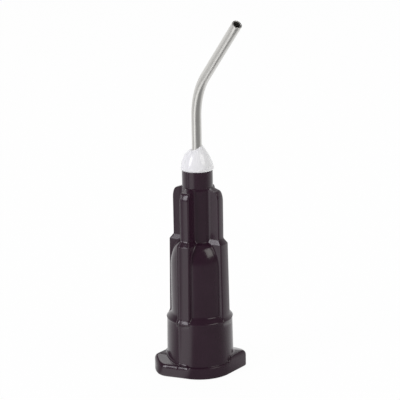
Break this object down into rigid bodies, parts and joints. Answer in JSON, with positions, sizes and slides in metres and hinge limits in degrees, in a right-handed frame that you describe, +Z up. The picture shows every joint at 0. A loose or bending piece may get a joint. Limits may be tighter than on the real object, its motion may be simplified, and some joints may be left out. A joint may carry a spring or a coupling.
{
  "type": "dispensing needle tip",
  "caption": "Bent steel dispensing needle bonded into a finned plastic hub with a tapered locking socket.",
  "frame": {"origin": "centre of the socket's mouth, in the plane of its rim", "axes": "+Z up the socket's axis, from the mouth towards the neck and the needle"},
  "size_m": [0.0078, 0.0085, 0.0303],
  "materials": {
    "hub": "glossy dark purple moulding",
    "cannula": "satin drawn stainless steel",
    "adhesive_bead": "glossy white adhesive"
  },
  "bodies": {
    "root": {"hub": "hub", "cannula": "cannula", "adhesive_bead": "adhesive_bead"}
  },
  "joints": []
}
